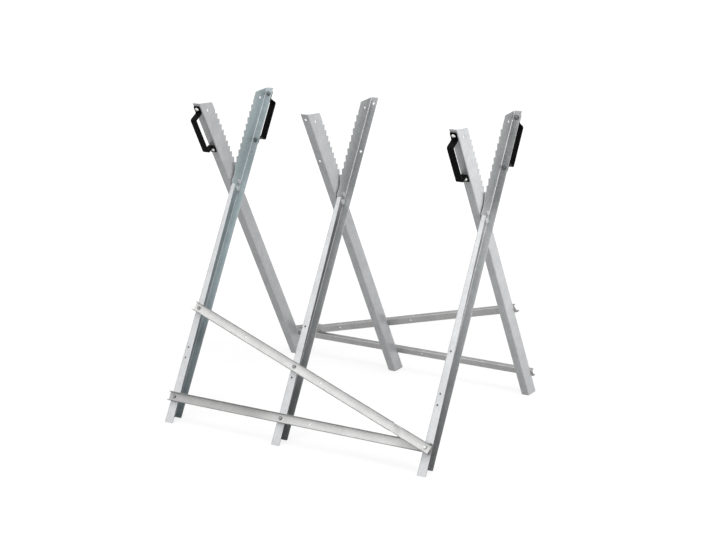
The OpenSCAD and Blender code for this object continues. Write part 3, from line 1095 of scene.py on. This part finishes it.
@dataclass
class StrapHandles(SheetPieces):
    """The four bent strap handles, with the thick rounded edges of a powder coat."""

    edge: float = 0.0007
    segments: int = 3
    ending: ClassVar[str] = "strap"
    slot: ClassVar[str] = "black_handles"

    def plans(self) -> Iterator[SheetPlan]:
        """Plans the four handles, which sit on the tops of the other side's legs.

        Yields:
            Each handle's plan.
        """
        for side, place in product(Side, (Place.LEFT, Place.RIGHT)):
            node = f"{side.value}_{place.value}_handle"
            yield SheetPlan(node, side.opposite.body, (self.finishes.handle,))


@dataclass
class FlatWashers(SheetPieces):
    """The spacers between the webs and the washers under the nuts, with rounded rims."""

    edge: float = 0.00018
    ending: ClassVar[str] = "rounded"
    slot: ClassVar[str] = "zinc_fasteners"

    def plans(self) -> Iterator[SheetPlan]:
        """Plans one piece for each kind of washer."""
        for node in ("pivot_spacers", "pivot_washers", "stop_washers"):
            yield SheetPlan(node, Side.FRONT.body, (self.finishes.fastener,))


# ---- Bolts, nuts and screws ----


@dataclass(frozen=True)
class Thread:
    """A metric thread, with the shares of its pitch that shape its groove and its ends."""

    diameter: float
    pitch: float
    depth: ClassVar[float] = 0.61
    root_at: ClassVar[Span] = (0.40, 0.55)
    crest_at: ClassVar[Span] = (0.92, 1.0)
    run_out: ClassVar[float] = 0.4
    tip: ClassVar[float] = 0.7

    @property
    def crest(self) -> float:
        """Radius over the thread."""
        return self.diameter / 2

    def shank(self, length: float, threaded: float) -> Rings:
        """Gives the rings of a shank that hangs down from a head.

        Args:
            length: the shank's length below the head's seat.
            threaded: the length of the thread at its end.

        Returns:
            The rings from the top down.
        """
        crest, pitch, turns = self.crest, self.pitch, int(threaded / self.pitch)
        root = crest - self.depth * pitch
        height = -(length - turns * pitch) + self.run_out * pitch
        rings = [(crest, 0.0), (crest, height)]
        for turn in range(turns):
            start = height - turn * pitch
            rings += [(root, start - share * pitch) for share in self.root_at]
            rings += [(crest, start - share * pitch) for share in self.crest_at]
        rings = [ring for ring in rings if ring[1] > -length + pitch]
        return [*rings, (crest, -length + self.tip * pitch), (root, -length)]


M5 = Thread(0.005, 0.0008)
M6 = Thread(0.006, 0.001)
M8 = Thread(0.008, 0.00125)


@dataclass(frozen=True)
class Fastener:
    """A bolt, nut or screw that sits on Z = 0, with its shank below."""

    thread: Thread
    flats: float
    face_share: ClassVar[float] = 0.475
    chamfer: ClassVar[float] = 30.0
    cone_sides: ClassVar[int] = 64
    spare: ClassVar[float] = 0.0002
    round_angle: ClassVar[float] = 28.0

    @property
    def corner(self) -> float:
        """Radius of the hexagon's corners."""
        return self.flats / math.sqrt(3)

    @property
    def face(self) -> float:
        """Radius of the hexagon's round face."""
        return self.face_share * self.flats

    def hexagon(self, low: float, high: float, both: bool) -> Piece:
        """Makes a hexagon whose corners are turned off in a cone.

        Args:
            low: the height of its lower face.
            high: the height of its upper face.
            both: whether the lower corners are turned off too.

        Returns:
            The hexagon.
        """
        wide = self.corner + self.spare
        slope = (wide - self.face) * math.tan(math.radians(self.chamfer))
        hexagon = turned([(self.corner, low), (self.corner, high)], 6)
        lower = [(self.face, low), (wide, low + slope)] if both else [(wide, low - self.spare)]
        cone = [*lower, (wide, high - slope), (self.face, high)]
        return combine(hexagon, Cut.SHARED, cone, self.cone_sides)

    def blank(self) -> Piece:
        """Makes the bare fastener."""
        raise NotImplementedError(self.thread)

    def model(self, *finishes: Finish) -> Piece:
        """Makes the fastener with its finishes.

        Args:
            finishes: the finish above the seat, and the one below it if that differs.

        Returns:
            The fastener.
        """
        piece = self.blank()
        dress(piece, *finishes)
        for face in piece.data.polygons:
            face.material_index = int(face.center.z < 0 and len(finishes) > 1)
        smooth(piece, self.round_angle)
        return piece


@dataclass(frozen=True)
class HexBolt(Fastener):
    """A hexagon bolt with a washer face, a turned chamfer and a thread."""

    head: float
    length: float
    threaded: float
    washer_face: ClassVar[float] = 0.0003
    sides: ClassVar[int] = 32

    def blank(self) -> Piece:
        """Makes the bare bolt.

        Returns:
            The bolt.
        """
        bolt = self.hexagon(self.washer_face, self.head, False)
        seat = [(self.face, 2 * self.washer_face), (self.face, 0.0)]
        shank = self.thread.shank(self.length, self.threaded)
        return combine(bolt, Cut.BOTH, [*seat, *shank], self.sides)


@dataclass(frozen=True)
class HexNut(Fastener):
    """A plain nut, chamfered on both faces, with a countersunk bore."""

    height: float
    clearance: ClassVar[float] = 0.00005
    sink: ClassVar[float] = 0.0005
    sides: ClassVar[int] = 48

    @property
    def bore(self) -> float:
        """Radius of the bore."""
        return self.thread.crest + self.clearance

    @property
    def top(self) -> float:
        """Height of the nut's top."""
        return self.height

    def drilled(self, nut: Piece) -> Piece:
        """Drills a nut and countersinks both ends of its bore.

        Args:
            nut: the nut's blank.

        Returns:
            The same nut.
        """
        wide, bore, top = self.bore + self.sink + self.spare, self.bore, self.height
        rings = [(wide, -self.spare), (bore, self.sink), (bore, top - self.sink)]
        return combine(nut, Cut.AWAY, [*rings, (wide, top + self.spare)], self.sides)

    def blank(self) -> Piece:
        """Makes the bare nut."""
        return self.drilled(self.hexagon(0.0, self.height, True))


@dataclass(frozen=True)
class LockNut(HexNut):
    """A lock nut, with a rolled collar that holds a nylon ring."""

    nylon: Finish
    collar: float = 0.0015
    step: ClassVar[float] = 0.0006
    rolled: ClassVar[Rings] = [(0.0, -0.0055), (0.0, -0.0009), (-0.0003, -0.0003), (-0.001, 0.0)]
    pocket: ClassVar[Rings] = [(-0.0014, -0.0021), (-0.0014, -0.0004), (-0.0012, 0.0002)]
    ring_outside: ClassVar[Rings] = [(-0.0014, -0.002), (-0.0014, -0.0008), (-0.0017, -0.0005)]
    past_ring: ClassVar[float] = 0.0003
    ring_angle: ClassVar[float] = 40.0

    @property
    def top(self) -> float:
        """Height of the collar's top."""
        return self.height + self.collar

    def from_rim(self, rings: Rings) -> Rings:
        """Turns rings that are told from the collar's outer top edge into plain ones."""
        wide = self.flats / 2 - self.step
        return [(wide + out, self.top + up) for out, up in rings]

    def blank(self) -> Piece:
        """Makes the bare nut with its collar.

        Returns:
            The nut.
        """
        nut = self.hexagon(0.0, self.height, True)
        combine(nut, Cut.BOTH, self.from_rim(self.rolled), self.sides)
        return combine(self.drilled(nut), Cut.AWAY, self.from_rim(self.pocket), self.sides)

    def ring(self) -> Piece:
        """Makes the nylon ring.

        Returns:
            The ring.
        """
        rings = self.from_rim(self.ring_outside)
        low, high = rings[0][1] - self.past_ring, rings[-1][1] + self.past_ring
        ring = turned([*rings, (self.bore, rings[-1][1])], self.sides)
        combine(ring, Cut.AWAY, [(self.bore, low), (self.bore, high)], self.sides)
        dress(ring, self.nylon)
        smooth(ring, self.ring_angle)
        return ring

    def model(self, *finishes: Finish) -> Piece:
        """Makes the lock nut with its ring.

        Args:
            finishes: the nut's finish.

        Returns:
            The nut.
        """
        select_only(super().model(*finishes), self.ring())
        bpy.ops.object.join()
        return bpy.context.object


@dataclass(frozen=True)
class SocketScrew(Fastener):
    """A round-headed screw with a hexagon socket and a thread."""

    thread: Thread = M6
    flats: float = 0.004
    half_head: float = 0.0055
    head: float = 0.0032
    head_flat: float = 0.0028
    rim: tuple[Span, ...] = ((-0.0001, 0.0004), (-0.0002, 0.0))
    depth: float = 0.0021
    length: float = 0.0115
    plain_shank: float = 0.001
    socket_tip: Span = (0.2, -0.0006)
    above: float = 0.001
    lead: tuple[Span, ...] = ((0.8, -0.0008), (1.12, 0.0003))
    steps: ClassVar[int] = 7
    sides: ClassVar[int] = 36
    lead_sides: ClassVar[int] = 32

    def dome(self) -> Rings:
        """Gives the head's shape.

        Returns:
            The rings from its flat top down to its seat.
        """
        half, top = self.half_head, self.head
        radius = (half**2 + top**2) / (2 * top)
        first = math.asin(self.head_flat / radius)
        last = math.asin(min(1.0, half / radius))
        angles = [first + (last - first) * step / self.steps for step in range(self.steps + 1)]
        rings = [(radius * math.sin(a), top - radius + radius * math.cos(a)) for a in angles]
        rings = [ring for ring in rings if ring[1] > self.rim[0][1]]
        return [*rings, *((half + out, height) for out, height in self.rim)]

    def blank(self) -> Piece:
        """Makes the bare screw.

        Returns:
            The screw.
        """
        shank = self.thread.shank(self.length, self.length - self.plain_shank)
        screw = turned([*self.dome(), *shank], self.sides)
        floor, (share, deeper) = self.head - self.depth, self.socket_tip
        socket = [(self.corner * share, floor + deeper), (self.corner, floor)]
        combine(screw, Cut.AWAY, [*socket, (self.corner, self.head + self.above)], 6)
        lead = [(self.corner * share, self.head + up) for share, up in self.lead]
        return combine(screw, Cut.AWAY, lead, self.lead_sides)


@dataclass
class Fasteners:
    """All bolts, nuts and screws, each kind modelled once and copied to its places."""

    stance: Stance
    finishes: Finishes
    lock_nut: LockNut = LockNut(M8, 0.013, 0.006, Finishes.nylon)
    small_nut: HexNut = HexNut(M6, 0.010, 0.005)
    brace_nut: HexNut = HexNut(M5, 0.008, 0.004)
    pivot_head: float = 0.005
    stop_head: float = 0.004
    brace_head: float = 0.0035
    pivot_thread: float = 0.0105
    stop_thread: float = 0.0080
    brace_threads: Span = (0.0075, 0.0140)
    tip: float = 0.002

    def bolt(self, nut: HexNut, head: float, grip: float, threaded: float) -> HexBolt:
        """Gives the bolt that fits a nut and a grip, with its tip past the nut."""
        return HexBolt(nut.thread, nut.flats, head, grip + nut.top + self.tip, threaded)

    def spread_over(
        self, node: str, side: Side, slot: str, *models: tuple[Piece, list[Matrix]]
    ) -> Piece:
        """Puts copies of models in their places as one piece that stands for a node.

        Args:
            node: the node that the piece replaces.
            side: the side whose body the piece rides on.
            slot: the record's material slot.
            models: each model with its places. The models are removed.

        Returns:
            The piece.
        """
        copies = []
        for model, places in models:
            for place in places:
                select_only(model)
                bpy.ops.object.duplicate(linked=False)
                copies.append(bpy.context.object)
                copies[-1].data.transform(place)
            bpy.data.objects.remove(model)
        select_only(*copies)
        bpy.ops.object.join()
        piece = bpy.context.object
        piece.name = f"{node}_detailed"
        piece.data.name = piece.name
        return hand_over(piece, side.body, node, slot)

    def crossings(self) -> list[Piece]:
        """Makes the pivot bolts with their lock nuts, and the stop bolts with their nuts.

        Returns:
            The four pieces.
        """
        stance, lock, nut = self.stance, self.lock_nut, self.small_nut
        seat, nut_seat = stance.head_seat, stance.nut_seat
        grip = seat + nut_seat
        pivots = [stance.pivot(x) for x in stance.trestles.values()]
        stops = [stance.stop(x) for x in stance.trestles.values()]
        bolt = self.bolt(lock, self.pivot_head, grip, self.pivot_thread)
        stop = self.bolt(nut, self.stop_head, grip, self.stop_thread)
        kinds = (
            ("pivot_bolts", bolt, for_heads(pivots, seat)),
            ("stop_bolts", stop, for_heads(stops, seat)),
            ("pivot_lock_nuts", lock, for_nuts(pivots, nut_seat)),
            ("stop_nuts", nut, for_nuts(stops, nut_seat)),
        )
        finish, slot = self.finishes.crossing, "zinc_fasteners"
        return [
            self.spread_over(node, Side.FRONT, slot, (kind.model(finish), places))
            for node, kind, places in kinds
        ]

    def braces(self, side: Side) -> list[Piece]:
        """Makes the bolts and nuts of one side's braces.

        Args:
            side: the side on which the braces lie.

        Returns:
            The bolts and the nuts.
        """
        stance, dull = self.stance, self.finishes.dull_fastener
        single, shared = stance.brace_holes(side)
        sheet, leg_sheet, lift = stance.brace_sheet, stance.leg_sheet, stance.brace_lift
        kind, grip = (self.brace_nut, self.brace_head), sheet + leg_sheet
        short = self.bolt(*kind, grip, self.brace_threads[0]).model(dull)
        nut = self.brace_nut.model(dull)
        long = self.bolt(*kind, grip + lift, self.brace_threads[1]).model(self.finishes.fastener)
        bolts = (short, for_heads(single, sheet)), (long, for_heads([shared], sheet + lift))
        nuts = (nut, for_nuts([*single, shared], leg_sheet))
        start, slot = f"{side.value}_brace", "zinc_fasteners"
        return [
            self.spread_over(f"{start}_bolts", side, slot, *bolts),
            self.spread_over(f"{start}_nuts", side, slot, nuts),
        ]

    def handles(self, side: Side) -> list[Piece]:
        """Makes the screws and nuts of the handles on one side's legs.

        Args:
            side: the side on which the feet of those legs stand.

        Returns:
            The screws and the nuts.
        """
        holes, dull = self.stance.handle_screws(side), self.finishes.dull_fastener
        screw = SocketScrew().model(self.finishes.screw, dull)
        nut = self.small_nut.model(dull)
        screws = (screw, for_heads(holes, self.stance.strap))
        nuts = (nut, for_nuts(holes, self.stance.leg_sheet))
        start, slot = f"{side.opposite.value}_handle", "bright_screws"
        return [
            self.spread_over(f"{start}_screws", side, slot, screws),
            self.spread_over(f"{start}_nuts", side, slot, nuts),
        ]

    def build(self) -> list[Piece]:
        """Makes all fasteners.

        Returns:
            The twelve pieces.
        """
        made = self.crossings()
        for side in Side:
            made += self.braces(side) + self.handles(side)
        return made


# ---- Studio ----


@dataclass(frozen=True)
class Viewpoint:
    """Camera at the photograph's place."""

    azimuth: float = 29.812
    elevation: float = 15.147
    roll: float = 0.037
    distance: float = 4.3986
    target: Triple = (0.0086, 0.0, 0.3759)
    lens: float = 85.02
    sensor: float = 36.0
    far: float = 200.0

    def build(self) -> Piece:
        """Makes the camera and makes it the scene's.

        Returns:
            The camera.
        """
        turns = ((self.azimuth, "Z"), (90.0 - self.elevation, "X"), (self.roll, "Z"))
        axes = Matrix.Identity(4)
        for turn, axis in turns:
            axes = axes @ Matrix.Rotation(math.radians(turn), 4, axis)
        settings = bpy.data.cameras.new("photo_camera")
        settings.lens = self.lens
        settings.sensor_width = self.sensor
        settings.clip_end = self.far
        camera = bpy.data.objects.new("photo_camera", settings)
        back = Matrix.Translation((0, 0, self.distance))
        camera.matrix_world = Matrix.Translation(self.target) @ axes @ back
        bpy.context.scene.collection.objects.link(camera)
        bpy.context.scene.camera = camera
        return camera


@dataclass(frozen=True)
class SoftBox:
    """A square lamp that looks at the sawhorse."""

    name: str
    place: Triple
    width: float
    watts: float
    aim: Triple = (0.0, 0.0, 0.4)
    mirrored: bool = True

    def build(self) -> Piece:
        """Makes the lamp.

        Returns:
            The lamp's object.
        """
        light = bpy.data.lights.new(self.name, "AREA")
        light.shape = "SQUARE"
        light.size = self.width
        light.energy = self.watts
        lamp = bpy.data.objects.new(self.name, light)
        lamp.location = self.place
        lamp.visible_glossy = self.mirrored
        lamp.rotation_mode = "QUATERNION"
        away = Vector(self.aim) - Vector(self.place)
        lamp.rotation_quaternion = away.to_track_quat("-Z", "Y")
        bpy.context.scene.collection.objects.link(lamp)
        return lamp


@dataclass
class Studio:
    """White seamless floor, pale surroundings, soft lamps and the camera."""

    floor_size: float = 120.0
    floor_colour: float = 0.12
    floor_glow: float = 0.82
    floor_seen: float = 0.20
    fade: Span = (0.7, 2.0)
    world_level: float = 0.40
    lamps: tuple[SoftBox, ...] = (
        SoftBox("key_lamp", (-2.2, -4.6, 4.0), 6.0, 118.0),
        SoftBox("top_lamp", (0.1, -0.5, 2.5), 1.6, 30.0, mirrored=False),
        SoftBox("right_lamp", (1.3, -0.1, 0.8), 1.0, 10.5, aim=(0.4, 0.1, 0.4), mirrored=False),
    )

    def floor(self) -> Piece:
        """Makes the floor, which shows white and keeps the sawhorse's soft shadow.

        Returns:
            The floor.
        """
        bpy.ops.object.select_all(action="DESELECT")
        bpy.ops.mesh.primitive_plane_add(size=self.floor_size, location=(0, 0, 0))
        floor = bpy.context.object
        floor.name = "studio_floor"
        graph = Surface("studio_floor")
        seen = graph.seen_share()
        tone = graph.spread(seen, graph.full, (self.floor_colour, self.floor_seen))
        paper = graph.add("BsdfDiffuse", {"Color": tone})
        reach = graph.add("VectorMath", {0: graph.place}, operation="LENGTH").outputs["Value"]
        level = graph.math("MULTIPLY", seen, graph.spread(reach, self.fade, (self.floor_glow, 1.0)))
        glow = graph.add("Emission", {"Color": WHITE, "Strength": level})
        both = graph.add("AddShader", {0: paper.outputs["BSDF"], 1: glow.outputs["Emission"]})
        graph.add("OutputMaterial", {"Surface": both.outputs["Shader"]})
        floor.data.materials.append(graph.owner)
        return floor

    def surroundings(self) -> None:
        """Makes the world: white where it is seen, and a plain level for the light."""
        world = bpy.data.worlds.new("studio")
        bpy.context.scene.world = world
        graph = Graph(world)
        level = graph.spread(graph.seen_share(), graph.full, (self.world_level, 1.0))
        sky = graph.add("Background", {"Color": WHITE, "Strength": level})
        graph.add("OutputWorld", {"Surface": sky.outputs["Background"]})

    def build(self) -> None:
        """Makes the studio."""
        self.floor()
        self.surroundings()
        for maker in (*self.lamps, Viewpoint()):
            maker.build()
        bpy.context.scene.view_settings.view_transform = "Standard"


def main() -> None:
    """Builds and dresses the sawhorse and its studio, and reports each piece."""
    logging.basicConfig(level=logging.INFO, format="%(name)s: %(message)s")
    stance, finishes = Stance(), Finishes()
    Studio().build()
    for assembly in (PressedLegs, ChannelBraces, StrapHandles, FlatWashers, Fasteners):
        for piece in assembly(stance, finishes).build():
            LOG.info("%s: %d faces", piece.name, len(piece.data.polygons))


if __name__ == "__main__":
    main()
